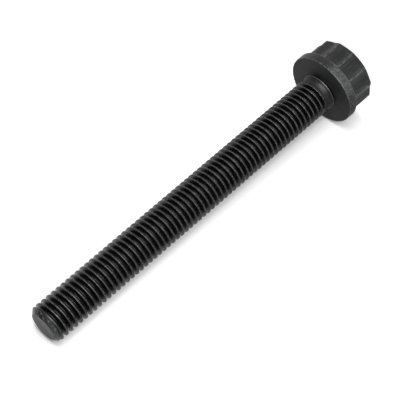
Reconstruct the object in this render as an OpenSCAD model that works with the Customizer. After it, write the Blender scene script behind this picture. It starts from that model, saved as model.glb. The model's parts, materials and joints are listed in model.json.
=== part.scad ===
// Cylinder head bolt: one forged piece, with a twelve-point head, a flange and a threaded shank.
// It stands on the flat top of its head with the tip up, so +Z runs along the axis to the tip.
// The shank is the thread's envelope: a true cylinder at the major diameter.

/* [Thread] */
// Major diameter of the thread
thread_diameter = 10; // [8:0.25:11]
// Pitch of the thread
thread_pitch = 1.5; // [1:0.25:1.75]
// Length under the head, from the bearing face to the tip
shank_length = 95; // [50:1:160]
// How far the tip's flat face lies inside the thread's root, on the radius
tip_inset = 0.35; // [0.2:0.05:0.7]
// Angle of the tip's chamfer, from the axis
tip_chamfer_angle = 45; // [30:1:60]

/* [Under the head] */
// How far the collar at the bearing face stands out from the thread, on the radius
collar_step = 0.15; // [0.05:0.05:0.4]
// Length of the collar
collar_length = 1; // [0.7:0.1:1.8]
// Length of the flare that widens from the neck to the collar
flare_length = 1.8; // [1.2:0.1:3.5]
// Length of the straight neck where the thread runs out
neck_length = 0.4; // [0.3:0.1:1.8]
// Radius of the fillet where the collar meets the bearing face
collar_fillet = 0.35; // [0.2:0.05:0.5]

/* [Flange] */
// Diameter of the flange
flange_diameter = 19.7; // [19.3:0.1:24]
// Height of the flange's rim
rim_height = 2.6; // [1.8:0.1:3.5]
// Radius of the rim's rounded edges
rim_radius = 0.3; // [0.15:0.05:0.6]
// Slope of the flange's back, from the bearing face's plane
flange_slope = 22; // [10:1:30]

/* [Head] */
// Size across two opposite flats of the twelve-point head
across_flats = 16; // [14:0.5:16.5]
// Height of the head with its flange, from the bearing face to the flat top
head_height = 10; // [8.5:0.5:14]
// Diameter of the flat circle on the top of the head
top_face_diameter = 14.8; // [12:0.1:15.4]
// Angle of the chamfer around the head's top, from the top's plane
top_chamfer_angle = 30; // [15:1:40]

/* [Hidden] */
$fn = 96;

black_oxide = "#2b2b2d";
hex_sides = 6;
point_spacing = 360 / (2 * hex_sides);

// Basic profile of a sixty-degree metric thread, as shares of the pitch
root_share = 0.6134;
pitch_line_share = 0.3248;

thread_radius = thread_diameter / 2;
root_radius = thread_radius - root_share * thread_pitch;
neck_radius = thread_radius - pitch_line_share * thread_pitch;
collar_radius = thread_radius + collar_step;
tip_radius = root_radius - tip_inset;
tip_chamfer_length = (thread_radius - tip_radius) / tan(tip_chamfer_angle);

// Heights above the bearing face
flare_end = collar_length + flare_length;
neck_end = flare_end + neck_length;
thread_start = neck_end + thread_radius - neck_radius;
thread_end = shank_length - tip_chamfer_length;

// The flare is an arc that leaves the neck tangent to it and ends on the collar's edge
flare_rise = collar_radius - neck_radius;
flare_radius = (flare_rise * flare_rise + flare_length * flare_length) / (2 * flare_rise);

flange_radius = flange_diameter / 2;
point_radius = across_flats / 2 / cos(180 / hex_sides);
// The flange's back slopes from the rim to a circle just inside the head's sides
slope_start = flange_radius - rim_radius;
slope_end = across_flats / 2;
slope_height = (slope_start - slope_end) * tan(flange_slope);
prism_height = head_height - rim_height / 2;
top_face_radius = top_face_diameter / 2;
chamfer_reach = (flange_radius - top_face_radius) * tan(top_chamfer_angle);

// Half section of the shank, with the bearing face at y = 0 and the tip up
module shank_section() {
    // Collar with the flare hollowed out of it
    difference() {
        square([collar_radius, flare_end]);
        translate([neck_radius + flare_radius, flare_end]) circle(flare_radius);
    }
    // Fillet in the corner between the collar and the bearing face
    translate([collar_radius, 0]) difference() {
        square(collar_fillet);
        translate([collar_fillet, collar_fillet]) circle(collar_fillet);
    }
    // Neck, thread envelope and tip chamfer
    polygon([
        [0, 0],
        [neck_radius, 0],
        [neck_radius, neck_end],
        [thread_radius, thread_start],
        [thread_radius, thread_end],
        [tip_radius, shank_length],
        [0, shank_length],
    ]);
}

// Half section of the flange, with the bearing face at y = 0 and the head's side below it
module flange_section() {
    translate([0, -rim_height]) {
        translate([0, rim_radius]) square([flange_radius, rim_height - 2 * rim_radius]);
        square([slope_start, rim_height]);
        for (y = [rim_radius, rim_height - rim_radius])
            translate([slope_start, y]) circle(rim_radius);
        polygon([[0, 0], [slope_start, 0], [slope_end, -slope_height], [0, -slope_height]]);
    }
}

// Twelve-point prism: two hexagons turned half a side from each other, chamfered at the top
module twelve_point_head() {
    intersection() {
        for (turn = [0, point_spacing])
            rotate(turn) cylinder(r = point_radius, h = prism_height, $fn = hex_sides);
        rotate_extrude() polygon([
            [0, 0],
            [top_face_radius, 0],
            [flange_radius, chamfer_reach],
            [flange_radius, head_height],
            [0, head_height],
        ]);
    }
}

module bolt() {
    color(black_oxide) {
        twelve_point_head();
        translate([0, 0, head_height]) rotate_extrude() {
            flange_section();
            shank_section();
        }
    }
}

bolt();
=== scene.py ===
"""Looks of a cylinder head bolt: rolled thread, flared collar and twelve-point head in black oxide."""
import json
import logging
import math
from collections.abc import Callable
from dataclasses import dataclass
from enum import Enum

import bmesh
import bpy
from mathutils import Matrix, Vector


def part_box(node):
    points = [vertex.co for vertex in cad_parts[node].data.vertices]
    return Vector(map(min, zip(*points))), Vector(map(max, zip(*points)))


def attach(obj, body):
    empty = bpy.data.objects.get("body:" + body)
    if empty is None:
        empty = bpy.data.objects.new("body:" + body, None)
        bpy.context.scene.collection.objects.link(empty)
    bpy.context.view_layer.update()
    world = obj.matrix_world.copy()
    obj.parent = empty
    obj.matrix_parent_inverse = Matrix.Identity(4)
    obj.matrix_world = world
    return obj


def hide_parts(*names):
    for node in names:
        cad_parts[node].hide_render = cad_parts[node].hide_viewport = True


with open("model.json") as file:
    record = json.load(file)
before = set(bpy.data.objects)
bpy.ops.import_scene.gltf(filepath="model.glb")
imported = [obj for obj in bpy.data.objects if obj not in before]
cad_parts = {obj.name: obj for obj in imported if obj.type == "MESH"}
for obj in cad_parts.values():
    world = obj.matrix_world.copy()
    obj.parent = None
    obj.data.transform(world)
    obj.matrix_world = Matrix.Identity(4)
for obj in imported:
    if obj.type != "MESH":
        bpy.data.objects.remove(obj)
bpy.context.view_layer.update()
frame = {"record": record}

LOG = logging.getLogger("cylinder_head_bolt")
MM = 0.001
FULL_TURN = 2 * math.pi
UP = Vector((0, 0, 1))
MERGE_REACH = 0.005 * MM
CUT_REACH = 0.001 * MM
NOISE_MIDDLE = 0.5
Socket = bpy.types.NodeSocket
Pair = tuple[float, float]


class Grain(Enum):
    """Noises of the finish: features per millimetre, octaves and share of the finer octaves."""

    FINE = (8.4, 3.0, 0.55)
    MOTTLE = (1.8, 4.0, 0.6)
    PATCHES = (0.36, 3.0, 0.55)
    STREAKS = (3.1, 4.0, 0.6)


class Value:
    """One number of a shader: an output socket whose operators add Math nodes."""

    def __init__(self, graph: "ShaderGraph", socket: Socket) -> None:
        """Keeps the graph and the socket that this value comes from."""
        self.graph = graph
        self.socket = socket

    def _math(self, operation: str, *inputs: "Value | float") -> "Value":
        """Adds one Math node.

        Args:
            operation: The Math node's operation.
            inputs: Its inputs, in order.
        Returns:
            The node's result.
        """
        links = dict(enumerate(inputs))
        return self.graph.add("ShaderNodeMath", {"operation": operation}, links).value("Value")

    def __add__(self, other: "Value | float") -> "Value":
        """Sum of two values."""
        return self._math("ADD", self, other)

    def __radd__(self, other: float) -> "Value":
        """Sum of a number and this value."""
        return self._math("ADD", other, self)

    def __sub__(self, other: "Value | float") -> "Value":
        """Difference of two values."""
        return self._math("SUBTRACT", self, other)

    def __rsub__(self, other: float) -> "Value":
        """A number less this value."""
        return self._math("SUBTRACT", other, self)

    def __mul__(self, other: "Value | float") -> "Value":
        """Product of two values."""
        return self._math("MULTIPLY", self, other)

    def __rmul__(self, other: float) -> "Value":
        """Product of a number and this value."""
        return self._math("MULTIPLY", other, self)

    def __pow__(self, other: float) -> "Value":
        """This value to a power."""
        return self._math("POWER", self, other)

    def angle(self, other: "Value") -> "Value":
        """Angle of the point whose height is this value and whose width is the other, in radians."""
        return self._math("ARCTAN2", self, other)

    def wrapped(self) -> "Value":
        """This value's part after the whole number below it."""
        return self._math("WRAP", self, 1.0, 0.0)

    def larger(self, other: "Value | float") -> "Value":
        """The larger of two values."""
        return self._math("MAXIMUM", self, other)

    def step(self, low: float, high: float) -> "Value":
        """Smooth step of this value.

        Args:
            low: Where the step is 0; it may be above high, for a falling step.
            high: Where the step is 1.
        Returns:
            A value from 0 to 1.
        """
        settings = {"interpolation_type": "SMOOTHSTEP"}
        inputs = {"Value": self, "From Min": low, "From Max": high}
        return self.graph.add("ShaderNodeMapRange", settings, inputs).value("Result")

    def about(self, place: float, reach: Pair) -> "Value":
        """Smooth step between two distances from a place, which are below 0 before it."""
        return self.step(place + reach[0], place + reach[1])

    def near(self, centre: float, reach: float) -> "Value":
        """Soft bump that is 1 at centre and 0 beyond reach on either side."""
        return self._math("ABSOLUTE", self - centre).step(reach, 0.0)


class Node:
    """A shader node, with its outputs as values or plain sockets."""

    def __init__(self, graph: "ShaderGraph", node: bpy.types.Node) -> None:
        """Keeps the graph and the node."""
        self.graph = graph
        self.node = node

    def out(self, name: str) -> Socket:
        """Output socket of that name."""
        return next(socket for socket in self.node.outputs if socket.name == name and socket.enabled)

    def value(self, name: str) -> Value:
        """Output of that name as a value that takes part in sums."""
        return Value(self.graph, self.out(name))


class ShaderGraph:
    """The node tree of a material or a world, filled by one method."""

    def __init__(self, owner: bpy.types.Material | bpy.types.World) -> None:
        """Clears the owner's node tree.

        Args:
            owner: The material or the world.
        """
        owner.use_nodes = True
        self.tree = owner.node_tree
        self.tree.nodes.clear()

    def add(self, kind: str, settings: dict | None = None, inputs: dict | None = None) -> Node:
        """Adds a node.

        Args:
            kind: The node's type.
            settings: Its properties, set before its sockets.
            inputs: Values or links of its sockets, by name or number.
        Returns:
            The new node.
        """
        node = self.tree.nodes.new(kind)
        for name, setting in (settings or {}).items():
            setattr(node, name, setting)
        for name, value in (inputs or {}).items():
            self._feed(self._input(node, name), value)
        return Node(self, node)

    def _input(self, node: bpy.types.Node, name: str | int) -> Socket:
        """Finds an input socket.

        Args:
            node: The node.
            name: The socket's number, or the name of one that is enabled.
        Returns:
            The socket.
        """
        if isinstance(name, int):
            return node.inputs[name]
        return next(socket for socket in node.inputs if socket.name == name and socket.enabled)

    def _feed(self, socket: Socket, value: object) -> None:
        """Feeds an input.

        Args:
            socket: The input socket.
            value: A value or a socket to link, or a constant to set.
        """
        if isinstance(value, Value):
            self.tree.links.new(value.socket, socket)
        elif isinstance(value, Socket):
            self.tree.links.new(value, socket)
        else:
            socket.default_value = value

    def noise(self, coordinate: Socket, grain: Grain) -> Value:
        """Noise around its middle.

        Args:
            coordinate: Where to read it, in millimetres.
            grain: Which noise.
        Returns:
            The noise value.
        """
        scale, detail, roughness = grain.value
        inputs = {"Vector": coordinate, "Scale": scale, "Detail": detail, "Roughness": roughness}
        return self.add("ShaderNodeTexNoise", {"noise_dimensions": "3D"}, inputs).value("Fac")

    def mix_colour(self, factor: Value, first: object, second: object) -> Socket:
        """Blends two colours.

        Args:
            factor: 0 gives the first colour and 1 the second.
            first: A colour or a socket.
            second: A colour or a socket.
        Returns:
            The blended colour's socket.
        """
        inputs = {"Factor": factor, "A": first, "B": second}
        return self.add("ShaderNodeMix", {"data_type": "RGBA"}, inputs).out("Result")

    def mix_shader(self, factor: Value, first: Socket, second: Socket) -> Socket:
        """Blends two shaders, where a factor of 1 gives the second."""
        return self.add("ShaderNodeMixShader", None, {0: factor, 1: first, 2: second}).out("Shader")


def grey(level: float, warmth: float = 0.0) -> tuple[float, float, float, float]:
    """A grey with a slight cast.

    Args:
        level: Linear brightness.
        warmth: Share added to red and taken from blue.
    Returns:
        The colour.
    """
    return (level * (1 + warmth), level, level * (1 - warmth), 1.0)


def rising(shares: Pair, value: Value) -> Value:
    """A base share, and a share of a value on top of it."""
    return shares[0] + shares[1] * value


def smooth_min(first: float, second: float, blend: float) -> float:
    """The smaller of two numbers, rounded where they are within blend of each other."""
    closeness = max(blend - abs(first - second), 0.0) / blend
    return min(first, second) - closeness * closeness * blend / 4


def smooth_max(first: float, second: float, blend: float) -> float:
    """The larger of two numbers, rounded where they are within blend of each other."""
    return -smooth_min(-first, -second, blend)


def smooth_step(place: float, low: float, high: float) -> float:
    """Smooth step from 0 at low to 1 at high."""
    share = min(max((place - low) / (high - low), 0.0), 1.0)
    return share * share * (3 - 2 * share)


@dataclass(frozen=True)
class BoltSizes:
    """Sizes of the bolt in metres, with heights above the head's top.

    The two shares are of the pitch, in the basic metric profile.
    """

    thread_radius: float
    bearing_height: float
    flange_radius: float
    tip_height: float
    pitch: float = 1.5 * MM
    tip_inset: float = 0.35 * MM
    collar_step: float = 0.15 * MM
    collar_length: float = 1.0 * MM
    flare_length: float = 1.8 * MM
    neck_length: float = 0.4 * MM
    rim_height: float = 2.6 * MM
    rim_radius: float = 0.3 * MM
    flange_slope: float = math.radians(22)
    across_flats: float = 16 * MM
    top_face_radius: float = 7.4 * MM
    top_chamfer: float = math.radians(30)
    groove_share: float = 0.6134
    pitch_line_share: float = 0.3248

    @classmethod
    def from_frame(cls, record: dict) -> "BoltSizes":
        """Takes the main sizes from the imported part.

        Args:
            record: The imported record, with its mounts.
        Returns:
            The sizes.
        """
        mounts = {mount["name"]: mount for mount in record["mounts"]}
        low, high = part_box("bolt")
        return cls(
            thread_radius=mounts["thread"]["dims"]["r_mm"] * MM,
            bearing_height=mounts["bearing_face"]["pos_m"][2],
            flange_radius=min(high.x, high.y, -low.x, -low.y),
            tip_height=high.z,
        )

    @property
    def thread_depth(self) -> float:
        """Depth of the thread's groove."""
        return self.groove_share * self.pitch

    @property
    def root_radius(self) -> float:
        """Radius at the bottom of the groove."""
        return self.thread_radius - self.thread_depth

    @property
    def neck_radius(self) -> float:
        """Radius of the neck, which is the bar's own before the thread was rolled."""
        return self.thread_radius - self.pitch_line_share * self.pitch

    @property
    def collar_radius(self) -> float:
        """Radius of the collar against the bearing face."""
        return self.thread_radius + self.collar_step

    @property
    def tip_radius(self) -> float:
        """Radius of the flat face at the tip."""
        return self.root_radius - self.tip_inset

    @property
    def thread_end(self) -> float:
        """Height at which the tip's chamfer starts."""
        return self.tip_height - (self.thread_radius - self.tip_radius)

    @property
    def point_radius(self) -> float:
        """Radius of the head's sharp points."""
        return self.across_flats / 2 / math.cos(math.pi / 6)

    @property
    def valley_radius(self) -> float:
        """Radius of the sharp valleys between the head's points."""
        return self.across_flats / 2 / math.cos(math.pi / 12)

    @property
    def collar_top(self) -> float:
        """Height of the collar's edge."""
        return self.bearing_height + self.collar_length

    @property
    def flare_top(self) -> float:
        """Height at which the flare becomes the neck."""
        return self.collar_top + self.flare_length

    @property
    def neck_top(self) -> float:
        """Height at which the thread starts to rise out of the neck."""
        return self.flare_top + self.neck_length

    @property
    def rim_back(self) -> float:
        """Height of the back of the flange's rim."""
        return self.bearing_height - self.rim_height

    @property
    def slope_radius(self) -> float:
        """Radius at which the flange's flat or sloping faces meet the rim's rounding."""
        return self.flange_radius - self.rim_radius


class RingLoft:
    """A skin around the Z axis, drawn out ring by ring from one circle."""

    def __init__(self, mesh: bmesh.types.BMesh, segments: int) -> None:
        """Starts the first ring.

        Args:
            mesh: The mesh that gets the skin.
            segments: Vertices in each ring.
        """
        self.mesh = mesh
        made = bmesh.ops.create_circle(mesh, cap_ends=False, segments=segments, radius=1.0)
        self.ring = made["verts"]
        self.edges = list({edge for vertex in self.ring for edge in vertex.link_edges})

    @classmethod
    def from_edges(cls, mesh: bmesh.types.BMesh, edges: list[bmesh.types.BMEdge]) -> "RingLoft":
        """Goes on from an open loop of edges.

        Args:
            mesh: The mesh that holds the loop.
            edges: The loop's edges.
        Returns:
            A loft whose ring is that loop.
        """
        loft = cls.__new__(cls)
        loft.mesh = mesh
        loft.edges = edges
        loft.ring = list({vertex for edge in edges for vertex in edge.verts})
        return loft

    def place(self, shape: Callable[[float], Pair]) -> None:
        """Moves the ring's vertices, each along its own angle.

        Args:
            shape: Gives a radius and a height for an angle.
        """
        for vertex in self.ring:
            angle = math.atan2(vertex.co.y, vertex.co.x)
            radius, height = shape(angle)
            vertex.co = Vector((radius * math.cos(angle), radius * math.sin(angle), height))

    def grow(self, shape: Callable[[float], Pair]) -> None:
        """Extrudes the ring and places the new one.

        Args:
            shape: Gives a radius and a height for an angle.
        """
        made = bmesh.ops.extrude_edge_only(self.mesh, edges=self.edges)["geom"]
        self.ring = [item for item in made if isinstance(item, bmesh.types.BMVert)]
        fresh = set(self.ring)
        self.edges = [
            item for item in made
            if isinstance(item, bmesh.types.BMEdge) and all(vertex in fresh for vertex in item.verts)
        ]
        self.place(shape)

    def grow_round(self, radius: float, height: float) -> None:
        """Extrudes the ring to a plain circle."""
        self.grow(lambda angle: (radius, height))

    def grow_arc(self, centre: Pair, radius: float, start: float, end: float, steps: int) -> None:
        """Extrudes the ring along an arc of the section.

        Args:
            centre: The arc's centre, as distance from the axis and height.
            radius: The arc's radius.
            start: Angle of its start in degrees, 0 outwards and 90 up.
            end: Angle of its end.
            steps: Rings along it, after its start.
        """
        for step in range(1, steps + 1):
            turn = math.radians(start + (end - start) * step / steps)
            self.grow_round(centre[0] + radius * math.cos(turn), centre[1] + radius * math.sin(turn))

    def close(self) -> None:
        """Fills the ring with one face."""
        bmesh.ops.contextual_create(self.mesh, geom=self.edges)


@dataclass
class RolledThread:
    """The thread from the neck to the chamfered tip.

    The rings of tip_round are shares of tip_edge, outwards from the flat face's edge and down from it.
    """

    sizes: BoltSizes
    turn_segments: int = 72
    crest_share: float = 0.19
    root_share: float = 0.14
    corner_radius: float = 0.09 * MM
    root_steps: int = 3
    corner_steps: int = 3
    tip_edge: float = 0.10 * MM
    tip_rings: int = 16
    run_out: float = 0.2
    lead: float = -0.05
    tip_fade: Pair = (-0.2 * MM, 0.55 * MM)
    tip_round: tuple[Pair, ...] = ((0.3, 0.45), (-0.3, 0.1), (-1.0, 0.0), (-2.0, 0.0))

    def section(self) -> list[Pair]:
        """One pitch of the thread's section, from the middle of one groove to the middle of the next.

        Returns:
            Points as (share of the pitch, depth below the crest).
        """
        pitch = self.sizes.pitch
        depth = self.sizes.thread_depth
        root_half = self.root_share * pitch / 2
        crest_edge = (1 - self.crest_share) * pitch / 2
        flank = math.atan2(depth, crest_edge - root_half)
        root_radius = root_half / math.tan(flank / 2)
        corner_reach = self.corner_radius * math.tan(flank / 2)
        rise = []
        for step in range(self.root_steps + 1):
            turn = flank * step / self.root_steps
            rise.append((root_radius * math.sin(turn), depth - root_radius * (1 - math.cos(turn))))
        for step in range(self.corner_steps + 1):
            turn = flank * (1 - step / self.corner_steps)
            rise.append((
                crest_edge + corner_reach - self.corner_radius * math.sin(turn),
                self.corner_radius * (1 - math.cos(turn)),
            ))
        rise.append((pitch / 2, 0.0))
        points = rise + [(pitch - along, down) for along, down in reversed(rise[:-1])]
        return [(along / pitch, down) for along, down in points]

    def build(self, mesh: bmesh.types.BMesh) -> list[bmesh.types.BMEdge]:
        """Spins the section into a helix and trims it at both ends.

        Args:
            mesh: The mesh that gets the thread.
        Returns:
            The open loop of edges at the neck.
        """
        sizes = self.sizes
        start = sizes.neck_top + (self.lead - 2) * sizes.pitch
        doublings = math.ceil(math.log2((sizes.tip_height - start) / sizes.pitch + 1))
        points = [
            mesh.verts.new((sizes.thread_radius - depth, 0.0, start + share * sizes.pitch))
            for share, depth in self.section()
        ]
        edges = [mesh.edges.new(pair) for pair in zip(points, points[1:])]
        bmesh.ops.spin(
            mesh, geom=points + edges, cent=(0, 0, 0), axis=(0, 0, 1),
            dvec=(0, 0, sizes.pitch / self.turn_segments), angle=FULL_TURN,
            steps=self.turn_segments, use_merge=False, use_duplicate=False,
        )
        for doubling in range(doublings):
            made = bmesh.ops.duplicate(mesh, geom=mesh.verts[:] + mesh.edges[:] + mesh.faces[:])["geom"]
            copies = [item for item in made if isinstance(item, bmesh.types.BMVert)]
            bmesh.ops.translate(mesh, vec=(0, 0, 2 ** doubling * sizes.pitch), verts=copies)
        bmesh.ops.remove_doubles(mesh, verts=mesh.verts[:], dist=MERGE_REACH)
        self._score_tip(mesh)
        for vertex in mesh.verts:
            self._trim(vertex)
        neck_loop = self._cut(mesh, sizes.neck_top, -1)
        self._finish_tip(mesh, self._cut(mesh, sizes.tip_height - self.tip_edge, 1))
        return neck_loop

    def _score_tip(self, mesh: bmesh.types.BMesh) -> None:
        """Adds rings of vertices over the chamfer's length, so that it is turned cleanly.

        Args:
            mesh: The mesh that holds the thread.
        """
        sizes = self.sizes
        length = sizes.tip_height - sizes.thread_end
        lowest = sizes.thread_end - sizes.pitch
        verts = [vertex for vertex in mesh.verts if vertex.co.z > lowest]
        edges = {edge for vertex in verts for edge in vertex.link_edges}
        faces = {face for vertex in verts for face in vertex.link_faces}
        ends = {vertex for face in faces for vertex in face.verts}
        sides = {edge for face in faces for edge in face.edges}
        near_tip = list(ends.union(verts)) + list(sides.union(edges)) + list(faces)
        for ring in range(self.tip_rings):
            height = sizes.tip_height - length * ring / (self.tip_rings - 1)
            near_tip = bmesh.ops.bisect_plane(
                mesh, geom=near_tip, dist=CUT_REACH, plane_co=(0, 0, height), plane_no=(0, 0, 1),
            )["geom"]

    def _trim(self, vertex: bmesh.types.BMVert) -> None:
        """Turns the tip's chamfer and fades the thread out on it and at the neck.

        Args:
            vertex: A vertex of the thread, which is moved.
        """
        sizes = self.sizes
        radius = vertex.co.xy.length
        height = vertex.co.z
        fade = smooth_step(height, sizes.neck_top, sizes.neck_top + self.run_out * sizes.pitch)
        turned = sizes.neck_radius + (radius - sizes.neck_radius) * fade
        early, late = self.tip_fade
        filled = smooth_step(height, sizes.thread_end + early, sizes.thread_end + late)
        turned += (sizes.thread_radius - turned) * filled
        turned = min(turned, sizes.tip_radius + max(sizes.tip_height - height, 0.0))
        vertex.co.x *= turned / radius
        vertex.co.y *= turned / radius

    def _cut(self, mesh: bmesh.types.BMesh, height: float, side: int) -> list[bmesh.types.BMEdge]:
        """Cuts the thread square.

        Args:
            mesh: The mesh to cut.
            height: Height of the cut.
            side: 1 takes away what is above it, and -1 what is below it.
        Returns:
            The loop of edges at the cut.
        """
        made = bmesh.ops.bisect_plane(
            mesh, geom=mesh.verts[:] + mesh.edges[:] + mesh.faces[:], dist=CUT_REACH,
            plane_co=(0, 0, height), plane_no=(0, 0, side), clear_outer=True,
        )
        return [item for item in made["geom_cut"] if isinstance(item, bmesh.types.BMEdge)]

    def _finish_tip(self, mesh: bmesh.types.BMesh, loop: list[bmesh.types.BMEdge]) -> None:
        """Rounds the tip's edge and closes its flat face.

        Args:
            mesh: The mesh that holds the thread.
            loop: The open loop of edges at its end.
        """
        sizes = self.sizes
        tip = RingLoft.from_edges(mesh, loop)
        for out, down in self.tip_round:
            tip.grow_round(sizes.tip_radius + out * self.tip_edge, sizes.tip_height - down * self.tip_edge)
        tip.grow_round(sizes.tip_radius / 2, sizes.tip_height)
        tip.close()


@dataclass
class FlangeHead:
    """The twelve-point head, its flange and the flared collar under it.

    The wall's and the neck's last values are shares of the undercut, the support and the neck's length.
    """

    sizes: BoltSizes
    points: int = 12
    point_segments: int = 24
    ridge_wear: float = 0.05 * MM
    ridge_blend: float = 0.13 * MM
    valley_blend: float = 0.20 * MM
    chamfer_edge: float = 0.11 * MM
    root_fillet: float = 0.4 * MM
    collar_edge: float = 0.08 * MM
    collar_undercut: float = 0.36 * MM
    foot_fillet: float = 0.04 * MM
    support: float = 0.10 * MM
    edge_rings: tuple[int, ...] = (-2, -1, 1, 2)
    fillet_steps: int = 4
    rim_steps: int = 4
    foot_steps: int = 3
    flare_steps: int = 10
    slope_gap: float = 0.02 * MM
    wall_undercut: float = 0.3
    wall_support: float = 0.5
    neck_support: float = 0.2

    def outline(self, angle: float) -> float:
        """Radius of the twelve-point outline, with worn ridges and rounded valleys.

        Args:
            angle: Angle about the axis.
        Returns:
            The radius.
        """
        half_flats = self.sizes.across_flats / 2
        side = FULL_TURN / (self.points / 2)
        hexes = []
        for turn in (0.0, side / 2):
            place = (angle + turn) % side - side / 2
            hexes.append(half_flats / math.cos(place))
        star = smooth_max(hexes[0], hexes[1], self.valley_blend)
        limit = half_flats / math.cos(side / 2) - self.ridge_wear
        return smooth_min(star, limit, self.ridge_blend)

    def chamfer_height(self, radius: float) -> float:
        """Height of the chamfer cone around the head's top."""
        return max(radius - self.sizes.top_face_radius, 0.0) * math.tan(self.sizes.top_chamfer)

    def slope_height(self, radius: float) -> float:
        """Height of the flange's sloping back."""
        sizes = self.sizes
        return sizes.rim_back - max(sizes.slope_radius - radius, 0.0) * math.tan(sizes.flange_slope)

    def build(self, mesh: bmesh.types.BMesh) -> list[bmesh.types.BMEdge]:
        """Draws the head out from its top to the neck.

        Args:
            mesh: The mesh that gets the head.
        Returns:
            The open loop of edges at the neck.
        """
        loft = RingLoft(mesh, self.points * self.point_segments)
        self._top(loft)
        self._sides(loft)
        self._flange(loft)
        self._collar(loft)
        return loft.edges

    def _top(self, loft: RingLoft) -> None:
        """Draws the flat top and the start of the chamfer around it.

        Args:
            loft: The head's skin, with only its first ring.
        """
        top_radius = self.sizes.top_face_radius
        loft.place(lambda angle: (top_radius / 2, 0.0))
        loft.close()
        for ring in self.edge_rings:
            radius = top_radius + ring * self.chamfer_edge
            loft.grow_round(radius, self.chamfer_height(radius))

    def _sides(self, loft: RingLoft) -> None:
        """Draws the chamfer's end, the points' sides and the fillet at their root.

        Args:
            loft: The head's skin, up to its chamfer.
        """
        for ring in self.edge_rings:
            loft.grow(lambda angle: self._past_chamfer(angle, ring * self.chamfer_edge))
        for step in range(-1, self.fillet_steps + 1):
            loft.grow(lambda angle: self._along_fillet(angle, step / self.fillet_steps))

    def _past_chamfer(self, angle: float, past: float) -> Pair:
        """Point near the points' ends.

        Args:
            angle: Angle about the axis.
            past: Distance past the chamfer's end, down the side, or along the chamfer where it is below 0.
        Returns:
            Its radius and height.
        """
        radius = self.outline(angle) + min(past, 0.0)
        return radius, self.chamfer_height(radius) + max(past, 0.0)

    def _along_fillet(self, angle: float, share: float) -> Pair:
        """Point on the fillet where the points' sides run into the flange.

        Args:
            angle: Angle about the axis.
            share: How far along the fillet, where below 0 is still on the side.
        Returns:
            Its radius and height.
        """
        turn = math.pi / 2 * share
        radius = self.outline(angle) + self.root_fillet * (1 - math.cos(max(turn, 0.0)))
        radius = min(radius, self.sizes.slope_radius - self.slope_gap)
        return radius, self.slope_height(radius) - self.root_fillet * (1 - math.sin(turn))

    def _flange(self, loft: RingLoft) -> None:
        """Draws the rounded rim up to the bearing face.

        Args:
            loft: The head's skin, up to the fillet at the points' root.
        """
        sizes = self.sizes
        low = (sizes.slope_radius, sizes.rim_back + sizes.rim_radius)
        high = (sizes.slope_radius, sizes.bearing_height - sizes.rim_radius)
        loft.grow_round(sizes.slope_radius, sizes.rim_back)
        loft.grow_arc(low, sizes.rim_radius, -90, 0, self.rim_steps)
        loft.grow_round(sizes.flange_radius, low[1] + self.support)
        loft.grow_round(sizes.flange_radius, high[1] - self.support)
        loft.grow_round(sizes.flange_radius, high[1])
        loft.grow_arc(high, sizes.rim_radius, 0, 90, self.rim_steps)

    def _collar(self, loft: RingLoft) -> None:
        """Draws the bearing face, the undercut collar, the flare and the neck.

        Args:
            loft: The head's skin, up to the rim.
        """
        sizes = self.sizes
        base = sizes.bearing_height
        corner = sizes.collar_radius + self.foot_fillet - self.collar_undercut
        loft.grow_round(sizes.slope_radius - self.support, base)
        loft.grow_round((sizes.slope_radius + corner) / 2, base)
        loft.grow_round(corner + self.support, base)
        loft.grow_round(corner, base)
        foot = (corner, base + self.foot_fillet)
        loft.grow_arc(foot, self.foot_fillet, -90, -180, self.foot_steps)
        rise = sizes.collar_radius - sizes.neck_radius
        flare_radius = (rise * rise + sizes.flare_length ** 2) / (2 * rise)
        centre = (sizes.neck_radius + flare_radius, sizes.flare_top)
        start = 180 + math.degrees(math.asin(sizes.flare_length / flare_radius))
        wall_end = base + sizes.collar_length - self.collar_edge
        wall_radius = sizes.collar_radius - self.wall_undercut * self.collar_undercut
        loft.grow_round(wall_radius, wall_end - self.wall_support * self.support)
        loft.grow_round(sizes.collar_radius, wall_end)
        edge_turn = math.degrees(self.collar_edge / flare_radius)
        loft.grow_arc(centre, flare_radius, start, start - edge_turn, 1)
        loft.grow_arc(centre, flare_radius, start - edge_turn, 180, self.flare_steps)
        loft.grow_round(sizes.neck_radius, sizes.neck_top - self.neck_support * sizes.neck_length)


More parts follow.
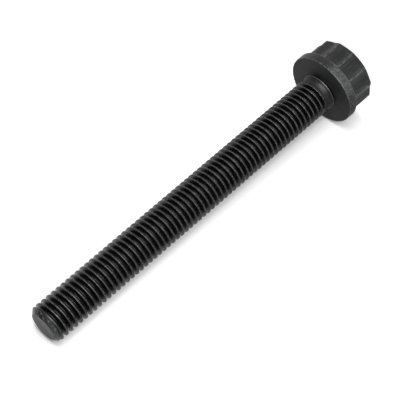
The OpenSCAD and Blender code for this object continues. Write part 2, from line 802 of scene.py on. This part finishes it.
@dataclass(frozen=True)
class Places:
    """Where a point of the bolt is, in millimetres, and the noises read there."""

    x: Value
    y: Value
    height: Value
    radius: Value
    phase: Value
    fine: Value
    mottle: Value
    patches: Value
    streaks: Value

    @classmethod
    def on(cls, graph: ShaderGraph, sizes: BoltSizes, lead: float, stretch: float) -> "Places":
        """Adds the coordinates and noises to a graph.

        Args:
            graph: The finish's node graph.
            sizes: The bolt's sizes.
            lead: Share of a turn by which the thread starts ahead.
            stretch: Scale of the streaks' coordinate along the axis.
        Returns:
            The places. The phase runs from 0 in the groove over 0.5 on the crest, towards the tip.
        """
        coordinate = graph.add("ShaderNodeTexCoord").out("Object")
        enlarged = {"Vector": coordinate, "Scale": 1 / MM}
        place = graph.add("ShaderNodeVectorMath", {"operation": "SCALE"}, enlarged).out("Vector")
        parts = graph.add("ShaderNodeSeparateXYZ", None, {"Vector": place})
        x, y, height = parts.value("X"), parts.value("Y"), parts.value("Z")
        turns = (height - sizes.neck_top / MM) * (MM / sizes.pitch) - y.angle(x) * (1 / FULL_TURN) - lead
        stretched = {"Vector": place, "Scale": (1.0, 1.0, stretch)}
        along = graph.add("ShaderNodeMapping", None, stretched).out("Vector")
        return cls(
            x=x, y=y, height=height, radius=(x * x + y * y) ** 0.5, phase=turns.wrapped(),
            fine=graph.noise(place, Grain.FINE), mottle=graph.noise(place, Grain.MOTTLE),
            patches=graph.noise(place, Grain.PATCHES), streaks=graph.noise(along, Grain.STREAKS),
        )

    def towards(self, azimuth: float) -> Value:
        """Distance out from the axis towards an azimuth."""
        return self.x * math.cos(azimuth) + self.y * math.sin(azimuth)

    def blend(self, mottled: float) -> Value:
        """The mottle and the fine noise together, with the mottle's share."""
        return self.mottle * mottled + self.fine * (1 - mottled)


@dataclass(frozen=True)
class WearLevels:
    """Where the oxide has rubbed off: places in millimetres, noise levels and shares of bare metal.

    A pair that names a place or a noise runs from no wear to full wear. A pair of shares is a base
    and what a noise or a place adds to it. A crest edge has its phase, reach and share.
    """

    speck_mottle: float = 0.5
    speck_noise: Pair = (0.56, 0.70)
    rub_mottle: float = 0.6
    rub_noise: Pair = (0.40, 0.66)
    tip_zone: Pair = (-18.0, -1.6)
    crest_depth: Pair = (-0.075, -0.017)
    crest_edges: tuple[tuple[float, float, float], ...] = ((0.41, 0.04, 0.4), (0.585, 0.045, 1.2))
    crest: Pair = (0.03, 0.08)
    crest_edge: Pair = (0.15, 0.25)
    crest_specks: Pair = (0.1, 0.6)
    ridge_depth: Pair = (-0.25, -0.10)
    ridge: float = 0.12
    rim_front_place: float = -0.13
    rim_front_reach: float = 0.25
    rim_back_place: float = 0.10
    rim_back_reach: float = 0.20
    rim: Pair = (0.10, 0.35)
    ring_place: float = 0.96
    ring_width: float = 0.085
    ring_reach: float = 0.18
    ring: float = 0.35
    chip_noise: Pair = (0.60, 0.68)
    chips: float = 0.7
    tip_edge_width: float = 0.13
    tip_edge_depth: Pair = (-0.17, 0.0)
    tip_edge: Pair = (0.1, 0.3)
    # painted highlight: where and how much the tip face gets more bare metal towards the lit side
    face_highlight_zone: Pair = (-0.8, 3.4)
    face_rub: float = 0.04
    face_highlight_share: float = 0.16


@dataclass(frozen=True)
class DustLevels:
    """Where the finish is greyer: places in millimetres, noise levels and shares of the greyer tone.

    A pair that names a place or a noise runs from no dust to full dust. A pair of shares is a base
    and what a noise or a place adds to it.
    """

    patch_noise: Pair = (0.3, 0.75)
    patches: float = 0.04
    mottle_noise: Pair = (0.4, 0.8)
    mottle: float = 0.03
    less_on_thread: float = 0.95
    past_valley: float = 0.17
    short_of_point: float = 0.25
    points: float = 0.13
    streaks: float = 1.1
    ridge_depth: Pair = (-0.25, -0.12)
    ridge: Pair = (0.22, 2.0)
    # The rim's zone and shares: partly real dust, partly a painted highlight where the rim faces the lit
    # side
    rim_highlight_zone: Pair = (0.84, 0.97)
    rim: Pair = (-0.04, 0.50)
    rim_mottle: float = 1.8
    rim_fine: float = 0.8
    spots_from: float = 0.45
    bearing: Pair = (0.20, 0.6)
    flare: Pair = (0.09, 0.5)
    scuff_zone: Pair = (0.6, 2.6)
    scuff: Pair = (0.30, 1.6)
    chamfer: float = 0.08
    face: float = 0.2


@dataclass(frozen=True)
class BlackOxide:
    """Satin black oxide on forged steel, worn to brighter metal on its edges, with painted shade on the
    thread and painted highlights on the rim and the tip face.

    The blends and reaches say in millimetres how softly a finish goes over into the next.
    """

    sizes: BoltSizes
    lead: float
    name: str = "black_oxide_steel"
    wear: WearLevels = WearLevels()
    dusting: DustLevels = DustLevels()
    # painted shade: the thread's tone is darker than the head's oxide, so that its grooves render as dark
    # as deep shade
    groove: float = 0.0012
    oxide: float = 0.004
    oxide_warmth: float = -0.03
    dust: float = 0.11
    dust_warmth: float = -0.02
    steel: float = 0.42
    thread_roughness: float = 0.27
    head_roughness: float = 0.42
    grain_roughness: float = 0.16
    dust_roughness: float = 0.15
    matt_roughness: float = 0.2
    wall_polish: float = 0.24
    shine: float = 0.35
    bump_strength: float = 0.4
    bump_depth: float = 0.042 * MM
    bump_mottle: float = 0.6
    bump_streaks: float = 0.8
    streak_stretch: float = 0.12
    scuffed_side: float = math.radians(-116)
    # painted highlight: azimuth of the lit side, towards which the rim and the tip face are painted
    # brighter
    highlight_side: float = math.radians(-80)
    thread_blend: Pair = (-0.17, 0.33)
    head_blend: Pair = (0.08, -0.33)
    rim_blend: Pair = (-0.21, -0.07)
    bearing_reach: float = 0.08
    wall_foot_blend: Pair = (0.0, 0.1)
    wall_edge_blend: Pair = (0.0, -0.15)
    wall_reach: Pair = (0.2, 0.1)
    flare_foot_blend: Pair = (0.0, 0.2)
    flare_top_blend: Pair = (0.2, -0.2)
    tip_face_blend: Pair = (-0.05, -0.01)
    tip_cone_blend: Pair = (-0.10, -0.03)

    def material(self) -> bpy.types.Material:
        """Builds the finish.

        Returns:
            The material.
        """
        made = bpy.data.materials.new(self.name)
        graph = ShaderGraph(made)
        at = Places.on(graph, self.sizes, self.lead, self.streak_stretch)
        on_thread = at.height.about(self.sizes.neck_top / MM, self.thread_blend)
        wear = self._wear(at, on_thread)
        dust = self._dust(at, on_thread)
        oxide, groove = grey(self.oxide, self.oxide_warmth), grey(self.groove, self.oxide_warmth)
        # painted shade: the thread gets the darker groove tone
        colour = graph.mix_colour(on_thread, oxide, groove)
        colour = graph.mix_colour(dust, colour, grey(self.dust, self.dust_warmth))
        colour = graph.mix_colour(wear, colour, grey(self.steel))
        relief = at.blend(self.bump_mottle) + self._on_head(at) * at.streaks * self.bump_streaks
        bump = graph.add("ShaderNodeBump", None, {
            "Strength": self.bump_strength, "Distance": self.bump_depth, "Height": relief,
        })
        shader = graph.add("ShaderNodeBsdfPrincipled", None, {
            "Base Color": colour, "Metallic": wear, "Roughness": self._roughness(at, on_thread, dust),
            "Normal": bump.out("Normal"), "Specular IOR Level": self.shine,
        })
        graph.add("ShaderNodeOutputMaterial", None, {"Surface": shader.out("BSDF")})
        return made

    def _roughness(self, at: Places, on_thread: Value, dust: Value) -> Value:
        """How matt the finish is: smoother on the rolled thread and the collar's wall.

        Args:
            at: Places on the bolt.
            on_thread: 1 on the thread.
            dust: Share of the greyer tone.
        Returns:
            The roughness.
        """
        rough = self.head_roughness + on_thread * (self.thread_roughness - self.head_roughness)
        rough = rough + (at.fine - NOISE_MIDDLE) * self.grain_roughness
        rough = rough + (at.mottle - NOISE_MIDDLE) * self.grain_roughness + dust * self.dust_roughness
        matt_faces = self._on_bearing(at) + self._on_tip(at)[0]
        return rough + matt_faces * self.matt_roughness - self._on_wall(at) * self.wall_polish

    def _on_head(self, at: Places) -> Value:
        """The twelve points and the head's top."""
        return at.height.about(self.sizes.rim_back / MM, self.head_blend)

    def _on_rim(self, at: Places) -> Value:
        """The flange's outer wall."""
        return at.radius.about(self.sizes.flange_radius / MM, self.rim_blend)

    def _on_bearing(self, at: Places) -> Value:
        """The flat bearing face around the collar."""
        return at.height.near(self.sizes.bearing_height / MM, self.bearing_reach)

    def _on_wall(self, at: Places) -> Value:
        """Finds the collar's smooth wall, between its edge and the bearing face.

        Args:
            at: Places on the bolt.
        Returns:
            1 on the wall.
        """
        foot = self.sizes.bearing_height / MM
        edge = foot + self.sizes.collar_length / MM
        inside = at.radius.about(self.sizes.collar_radius / MM, self.wall_reach)
        above = at.height.about(foot, self.wall_foot_blend)
        return above * at.height.about(edge, self.wall_edge_blend) * inside

    def _on_flare(self, at: Places) -> Value:
        """The flare between the collar's edge and the thread."""
        foot = at.height.about(self.sizes.collar_top / MM, self.flare_foot_blend)
        return foot * at.height.about(self.sizes.neck_top / MM, self.flare_top_blend)

    def _on_tip(self, at: Places) -> tuple[Value, Value]:
        """Finds the two faces of the tip.

        Args:
            at: Places on the bolt.
        Returns:
            1 on the flat face, and 1 on the chamfer around it.
        """
        tip = self.sizes.tip_height / MM
        face = at.height.about(tip, self.tip_face_blend)
        cone = (at.radius + at.height).about(tip + self.sizes.tip_radius / MM, self.tip_cone_blend)
        return face, cone * (1.0 - face)

    def _wear(self, at: Places, on_thread: Value) -> Value:
        """Where the oxide has rubbed off: crests, points, rim edges, the collar's ring and the tip; on the
        tip face it also adds more bare metal towards the lit side, a painted highlight.

        Args:
            at: Places on the bolt.
            on_thread: 1 on the thread.
        Returns:
            The share of bare metal.
        """
        sizes, levels = self.sizes, self.wear
        bearing, tip = sizes.bearing_height / MM, sizes.tip_height / MM
        face, chamfer = self._on_tip(at)
        rub = at.blend(levels.rub_mottle).step(*levels.rub_noise)
        wear = on_thread * self._crest_wear(at, rub)
        ridge = self._on_head(at) * at.radius.about(sizes.point_radius / MM, levels.ridge_depth)
        wear = wear.larger(ridge * rub * levels.ridge)
        front = at.height.near(bearing + levels.rim_front_place, levels.rim_front_reach)
        back = at.height.near(sizes.rim_back / MM + levels.rim_back_place, levels.rim_back_reach)
        wear = wear.larger(self._on_rim(at) * front.larger(back) * rising(levels.rim, rub))
        ring = at.radius.near(sizes.collar_radius / MM, levels.ring_width)
        ring = ring * at.height.near(bearing + levels.ring_place, levels.ring_reach)
        wear = wear.larger(ring * levels.ring)
        wear = wear.larger(chamfer * at.mottle.step(*levels.chip_noise) * levels.chips)
        tip_edge = at.radius.near(sizes.tip_radius / MM, levels.tip_edge_width)
        tip_edge = tip_edge * at.height.about(tip, levels.tip_edge_depth)
        wear = wear.larger(tip_edge * rising(levels.tip_edge, rub))
        # painted highlight: the tip face gets more bare metal towards the lit side, on top of its rubbed
        # wear
        face_highlight = at.towards(self.highlight_side).step(*levels.face_highlight_zone)
        return wear.larger(face * (rub * levels.face_rub + face_highlight * levels.face_highlight_share))

    def _crest_wear(self, at: Places, rub: Value) -> Value:
        """Wear on the thread's crests, along both edges and in specks that grow towards the tip.

        Args:
            at: Places on the bolt.
            rub: Where the oxide has rubbed off the most.
        Returns:
            The share of bare metal.
        """
        levels = self.wear
        crest = at.radius.about(self.sizes.thread_radius / MM, levels.crest_depth)
        specks = at.blend(levels.speck_mottle).step(*levels.speck_noise)
        near_tip = at.height.about(self.sizes.tip_height / MM, levels.tip_zone)
        back, front = (at.phase.near(place, reach) * share for place, reach, share in levels.crest_edges)
        worn = rising(levels.crest, rub) + (back + front) * rising(levels.crest_edge, rub)
        return crest * (worn + rising(levels.crest_specks, near_tip) * specks)

    def _dust(self, at: Places, on_thread: Value) -> Value:
        """Where the finish is greyer: rim, points, streaks along the head, tip; on the rim it is partly
        dust and partly a painted highlight on the lit side.

        Args:
            at: Places on the bolt.
            on_thread: 1 on the thread.
        Returns:
            The share of the greyer tone.
        """
        sizes, levels = self.sizes, self.dusting
        point, flange = sizes.point_radius / MM, sizes.flange_radius / MM
        face, chamfer = self._on_tip(at)
        uneven, spots = at.mottle - NOISE_MIDDLE, at.mottle - levels.spots_from
        plain = at.patches.step(*levels.patch_noise) * levels.patches
        plain = plain + at.mottle.step(*levels.mottle_noise) * levels.mottle
        dust = plain * (1.0 - on_thread * levels.less_on_thread)
        out_of_valley = sizes.valley_radius / MM + levels.past_valley
        points = at.radius.step(out_of_valley, point - levels.short_of_point) * levels.points
        points = points + (at.streaks - NOISE_MIDDLE) * levels.streaks
        points = points + at.radius.about(point, levels.ridge_depth) * rising(levels.ridge, uneven)
        dust = dust.larger(self._on_head(at) * points)
        # painted highlight: the rim is lighter where it faces the lit side; rubbed marks that highlight,
        # not wear, and the spots on top of it are dust
        start, end = levels.rim_highlight_zone
        rubbed = at.towards(self.highlight_side).step(start * flange, end * flange)
        rim = rising(levels.rim, rubbed) + levels.rim_mottle * spots
        rim = rim + levels.rim_fine * (at.fine - NOISE_MIDDLE)
        dust = dust.larger(self._on_rim(at) * rim)
        dust = dust.larger(self._on_bearing(at) * rising(levels.bearing, uneven))
        dust = dust.larger(self._on_flare(at) * rising(levels.flare, uneven))
        scuffed = at.towards(self.scuffed_side).step(*levels.scuff_zone)
        dust = dust.larger(chamfer * (levels.chamfer + scuffed * rising(levels.scuff, spots)))
        return dust.larger(face * (levels.face * at.mottle))


@dataclass
class HeadBolt:
    """The whole bolt: one forged and rolled piece."""

    sizes: BoltSizes
    name: str = "head_bolt"
    sharp_angle: float = math.radians(32)

    def build(self) -> bpy.types.Object:
        """Models the bolt and puts it in place of its CAD node.

        Returns:
            The finished object.
        """
        mesh = bmesh.new()
        thread = RolledThread(self.sizes)
        thread_loop = thread.build(mesh)
        head_loop = FlangeHead(self.sizes).build(mesh)
        bmesh.ops.bridge_loops(mesh, edges=thread_loop + head_loop)
        bmesh.ops.recalc_face_normals(mesh, faces=mesh.faces[:])
        data = bpy.data.meshes.new(self.name)
        mesh.to_mesh(data)
        open_edges = sum(not edge.is_manifold for edge in mesh.edges)
        mesh.free()
        data.shade_smooth()
        data.set_sharp_from_angle(angle=self.sharp_angle)
        bolt = bpy.data.objects.new(self.name, data)
        bpy.context.scene.collection.objects.link(bolt)
        data.materials.append(BlackOxide(self.sizes, thread.lead).material())
        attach(bolt, "root")
        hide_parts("bolt")
        LOG.info("%s: %d faces, %d open edges", self.name, len(data.polygons), open_edges)
        return bolt


class Side(Enum):
    """Which faces of a stage sheet show."""

    BOTH = "both"
    FRONT = "front"


@dataclass(frozen=True)
class BackdropTones:
    """Painted shade and painted light on the backdrop: a painted shadow along the bolt's shaded edge,
    painted light that whitens the lamp's real shadow around the bolt, a side painted darker for
    reflections, and a hidden strip that glows to light the bolt's back. Each pair runs from no effect to
    full.
    """

    towards: tuple[float, float, float]
    tip_height: float
    lean: float = 0.026
    # painted shade in reflections: across which the backdrop shows darker to glossy rays towards the
    # bolt's shaded side, and by how much
    reflection_shade_across: Pair = (-8 * MM, 17 * MM)
    reflection_shade_share: float = 0.65
    # painted shadow: across and below the tip, where the paper glows less along the bolt's shaded edge,
    # and by how much
    painted_shadow_across: Pair = (5.2 * MM, 3.4 * MM)
    painted_shadow_below: Pair = (0.0, 5 * MM)
    painted_shadow_depth: float = 0.55
    # painted light: where the paper glows up to white over the lamp's real shadow, on the side away from
    # the shaded edge and at the foot
    painted_light_across: Pair = (-6 * MM, -14 * MM)
    painted_light_foot: Pair = (4 * MM, 0.0)
    past_tip: Pair = (0.5 * MM, -0.5 * MM)
    past_tip_share: float = 0.12
    corner_below: Pair = (6 * MM, 1 * MM)
    corner_across: Pair = (-2 * MM, -7 * MM)
    corner_share: float = 0.6
    strip_start: Pair = (-5.8 * MM, -4.2 * MM)
    strip_end: Pair = (2.2 * MM, 0.7 * MM)
    strip_below: Pair = (1 * MM, 5 * MM)
    strip_shank: Pair = (14 * MM, 30 * MM)
    strip_head: Pair = (8 * MM, 6 * MM)
    strip_glow: float = 3.0

    def places(self, graph: ShaderGraph) -> tuple[Value, Value]:
        """Reads where a point of the backdrop is.

        Args:
            graph: The paper's node graph.
        Returns:
            Its distance across, towards the dimmer side, and its height above the floor.
        """
        place = graph.add("ShaderNodeTexCoord").out("Object")
        inputs = {0: place, 1: self.towards}
        across = graph.add("ShaderNodeVectorMath", {"operation": "DOT_PRODUCT"}, inputs).value("Value")
        return across, graph.add("ShaderNodeSeparateXYZ", None, {"Vector": place}).value("Z")

    def seen_glow(self, glow: float, across: Value, height: Value) -> Value:
        """Glow for the eye, with a painted shadow along the bolt's shaded edge, and painted light that
        whitens the lamp's real shadow at the foot, past the tip, at the tip's corner and on the side away
        from the shaded edge.

        Args:
            glow: The paper's own glow.
            across: Distance across, towards the dimmer side.
            height: Height above the floor.
        Returns:
            The glow, where 1 is white.
        """
        below = self.tip_height - height
        # painted shadow: the paper glows less along the bolt's shaded edge
        painted_shadow = (across + below * self.lean).step(*self.painted_shadow_across) * below.step(*self.painted_shadow_below)
        # painted light: the paper glows up to white over the lamp's real shadow on the far side, at the
        # foot, past the tip and at the tip's corner
        painted_light = across.step(*self.painted_light_across).larger(height.step(*self.painted_light_foot))
        corner = below.step(*self.corner_below) * across.step(*self.corner_across) * self.corner_share
        painted_light = painted_light.larger(below.step(*self.past_tip) * self.past_tip_share + corner)
        shaded = glow * (1.0 - painted_shadow * self.painted_shadow_depth)
        return shaded + painted_light * (1.0 - shaded)

    def back_light(self, across: Value, height: Value) -> Value:
        """Glow of the strip that the bolt hides, which lights the bolt's back.

        Args:
            across: Distance across, towards the dimmer side.
            height: Height above the floor.
        Returns:
            The glow for reflections.
        """
        below = self.tip_height - height
        beside = across + below * self.lean
        strip = beside.step(*self.strip_start) * beside.step(*self.strip_end)
        strip = strip * below.step(*self.strip_below)
        ends = height.step(*self.strip_shank).larger(height.step(*self.strip_head))
        return strip * ends * self.strip_glow


@dataclass(frozen=True)
class WhitePaper:
    """White paper of the stage, which shows as white and keeps the object's shadow."""

    name: str
    side: Side = Side.BOTH
    albedo: float = 0.8
    glow: float = 0.24
    mirrored_glow: float = 0.0
    tones: BackdropTones | None = None
    clean_beyond: float | None = None

    def material(self) -> bpy.types.Material:
        """Builds the paper.

        Returns:
            The material.
        """
        made = bpy.data.materials.new(self.name)
        graph = ShaderGraph(made)
        rays = graph.add("ShaderNodeLightPath")
        seen = rays.value("Is Camera Ray").larger(rays.value("Is Transmission Ray"))
        mirrored = rays.value("Is Glossy Ray")
        surface = graph.add("ShaderNodeBsdfDiffuse", None, {"Color": grey(self.albedo)}).out("BSDF")
        lit, glow = mirrored * self.mirrored_glow, self.glow
        # With tones, the backdrop gets a painted shadow and painted light for the eye, and painted shade
        # and a glowing strip in reflections
        if self.tones is not None:
            across, height = self.tones.places(graph)
            # painted shade in reflections: towards the bolt's shaded side, glossy rays see the paper
            # darker, partly black
            reflection_shade = across.step(*self.tones.reflection_shade_across)
            glow = self.tones.seen_glow(self.glow, across, height)
            # painted light: a strip hidden behind the bolt glows brighter than white for reflections and
            # lights the bolt's back
            lit = (lit * (1.0 - reflection_shade)).larger(mirrored * self.tones.back_light(across, height))
            dark = graph.add("ShaderNodeBsdfDiffuse", None, {"Color": grey(0.0)}).out("BSDF")
            surface = graph.mix_shader(mirrored * reflection_shade * self.tones.reflection_shade_share, surface, dark)
        if self.clean_beyond is not None:
            place = graph.add("ShaderNodeTexCoord").out("Object")
            reach = graph.add("ShaderNodeVectorMath", {"operation": "LENGTH"}, {0: place}).value("Value")
            glow = self.glow + reach.step(self.clean_beyond / 2, self.clean_beyond) * (1.0 - self.glow)
        light = graph.add("ShaderNodeEmission", None, {"Color": (seen * glow).larger(lit)})
        both = {0: surface, 1: light.out("Emission")}
        surface = graph.add("ShaderNodeAddShader", None, both).out("Shader")
        if self.side is Side.FRONT:
            behind = graph.add("ShaderNodeNewGeometry").value("Backfacing")
            clear = graph.add("ShaderNodeBsdfTransparent").out("BSDF")
            surface = graph.mix_shader(behind, surface, clear)
        graph.add("ShaderNodeOutputMaterial", None, {"Surface": surface})
        return made


def heading(azimuth: float) -> Vector:
    """Level direction at an azimuth."""
    return Vector((math.cos(azimuth), math.sin(azimuth), 0.0))


@dataclass
class Studio:
    """Floor, backdrop, lamp and camera, set around the standing bolt."""

    sizes: BoltSizes
    view_azimuth: float = math.radians(-71)
    backdrop_turn: float = math.radians(27)
    floor_half: float = 2.5
    backdrop_half: float = 1.0
    backdrop_gap: float = 0.12 * MM
    last_crest: float = 1.7 * MM
    room_light: float = 0.04
    lamp_turn: float = math.radians(8)
    lamp_reach: float = 0.458
    lamp_height: float = 0.096
    lamp_width: float = 0.433
    lamp_rise: float = 0.167
    lamp_power: float = 2.5
    camera_reach: float = 311.4 * MM
    camera_height: float = 184.5 * MM
    aim_height: float = 55.0 * MM
    aim_side: float = -1.22 * MM
    roll: float = math.radians(130.56)
    lens: float = 125.3
    sensor: float = 36.0
    near_clip: float = 0.01

    def build(self) -> None:
        """Sets up everything around the bolt."""
        self._floor()
        self._backdrop()
        self._world()
        self._lamp()
        self._camera()

    def _sheet(self, name: str, half: float, place: Matrix, paper: WhitePaper) -> None:
        """Adds a square sheet of the stage.

        Args:
            name: The object's name.
            half: Half its side.
            place: Where it lies, with its front along its own +Z.
            paper: Its finish.
        """
        mesh = bmesh.new()
        bmesh.ops.create_grid(mesh, x_segments=1, y_segments=1, size=half, matrix=place)
        data = bpy.data.meshes.new(name)
        mesh.to_mesh(data)
        mesh.free()
        sheet = bpy.data.objects.new(name, data)
        bpy.context.scene.collection.objects.link(sheet)
        data.materials.append(paper.material())
        LOG.info("%s: stage", name)

    def _floor(self) -> None:
        """White floor that the bolt stands on."""
        paper = WhitePaper("floor_paper", albedo=0.5, glow=0.88, mirrored_glow=0.65, clean_beyond=0.4)
        self._sheet("floor", self.floor_half, Matrix.Identity(4), paper)

    def _facing(self) -> tuple[Vector, Vector]:
        """Where the backdrop is and which way it faces.

        Returns:
            A point on it and its normal. It touches the flange's rim and the last full crest.
        """
        sizes = self.sizes
        outward = heading(self.view_azimuth + self.backdrop_turn)
        low = UP * (sizes.rim_back + sizes.rim_height / 2)
        low = low - outward * (sizes.flange_radius + self.backdrop_gap)
        high = UP * (sizes.tip_height - self.last_crest)
        high = high - outward * (sizes.thread_radius + self.backdrop_gap)
        along = (high - low).normalized()
        normal = UP.cross(outward).cross(along).normalized()
        if normal.dot(outward) < 0:
            normal = -normal
        return low, normal

    def _backdrop(self) -> None:
        """White sheet close behind the bolt, seen only from its front."""
        point, normal = self._facing()
        turn = normal.to_track_quat("Z", "Y").to_matrix().to_4x4()
        tones = BackdropTones(tuple(normal.cross(UP).normalized()), self.sizes.tip_height)
        paper = WhitePaper("backdrop_paper", Side.FRONT, mirrored_glow=0.25, tones=tones)
        self._sheet("backdrop", self.backdrop_half, Matrix.Translation(point) @ turn, paper)

    def _world(self) -> None:
        """Even white room, plainer for the light than for the eye."""
        world = bpy.data.worlds.new("studio_room")
        bpy.context.scene.world = world
        graph = ShaderGraph(world)
        rays = graph.add("ShaderNodeLightPath")
        strength = self.room_light + rays.value("Is Camera Ray") * (1 - self.room_light)
        room = graph.add("ShaderNodeBackground", None, {"Color": grey(1.0), "Strength": strength})
        graph.add("ShaderNodeOutputWorld", None, {"Surface": room.out("Background")})

    def _lamp(self) -> None:
        """One large soft lamp, between the camera's side and straight out from the backdrop."""
        place = heading(self.view_azimuth + self.lamp_turn) * self.lamp_reach + UP * self.lamp_height
        aim = UP * (self.sizes.tip_height / 2)
        data = bpy.data.lights.new("main_lamp", "AREA")
        data.shape = "RECTANGLE"
        data.size, data.size_y = self.lamp_width, self.lamp_rise
        data.energy = self.lamp_power
        lamp = bpy.data.objects.new("main_lamp", data)
        lamp.location = place
        lamp.rotation_euler = (aim - place).to_track_quat("-Z", "Y").to_euler()
        bpy.context.scene.collection.objects.link(lamp)
        LOG.info("%s: lamp", lamp.name)

    def _camera(self) -> None:
        """Camera at the photograph's viewing angle."""
        out = heading(self.view_azimuth)
        place = out * self.camera_reach + UP * self.camera_height
        aim = UP.cross(out) * self.aim_side + UP * self.aim_height
        forward = (aim - place).normalized()
        right = Matrix.Rotation(self.roll, 3, forward) @ forward.cross(UP).normalized()
        up = right.cross(forward)
        data = bpy.data.cameras.new("photo_camera")
        data.lens = self.lens
        data.sensor_width = self.sensor
        data.clip_start = self.near_clip
        camera = bpy.data.objects.new("photo_camera", data)
        turn = Matrix((right, up, -forward)).transposed().to_4x4()
        camera.matrix_world = Matrix.Translation(place) @ turn
        bpy.context.scene.collection.objects.link(camera)
        bpy.context.scene.camera = camera
        LOG.info("%s: camera", camera.name)


def main() -> None:
    """Builds the bolt and its studio, in order."""
    logging.basicConfig(level=logging.INFO, format="%(name)s: %(message)s")
    bpy.context.scene.view_settings.view_transform = "Standard"
    sizes = BoltSizes.from_frame(frame["record"])
    HeadBolt(sizes).build()
    Studio(sizes).build()


if __name__ == "__main__":
    main()
